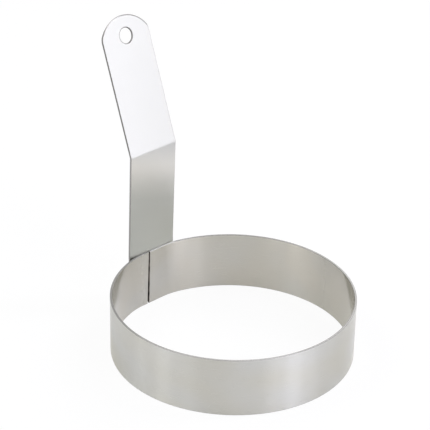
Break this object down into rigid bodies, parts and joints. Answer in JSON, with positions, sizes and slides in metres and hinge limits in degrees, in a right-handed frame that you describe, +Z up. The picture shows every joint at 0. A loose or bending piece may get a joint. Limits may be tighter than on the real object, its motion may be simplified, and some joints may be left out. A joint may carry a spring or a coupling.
{
  "type": "egg ring",
  "caption": "Round egg ring of rolled stainless strip, with a bent flat strip handle spot welded over its seam and a hole in the handle's rounded end.",
  "frame": {"origin": "middle of the whole part's footprint, on the plane that the band stands on", "axes": "+Z up along the band's axis; +Y from the band's axis towards the handle, which stands at the back and leans away; +X to the right of someone who faces the handle across the band"},
  "size_m": [0.1016, 0.1202, 0.1276],
  "materials": {
    "band_steel": "satin stainless, drawn along the strip, with deburred edges",
    "handle_steel": "polished stainless, close to a mirror",
    "weld_steel": "fused stainless, inside the joint"
  },
  "bodies": {
    "root": {"ring_band": "band_steel", "handle_strip": "handle_steel", "spot_weld_left_lower": "weld_steel", "spot_weld_left_upper": "weld_steel", "spot_weld_right_lower": "weld_steel", "spot_weld_right_upper": "weld_steel"}
  },
  "joints": []
}
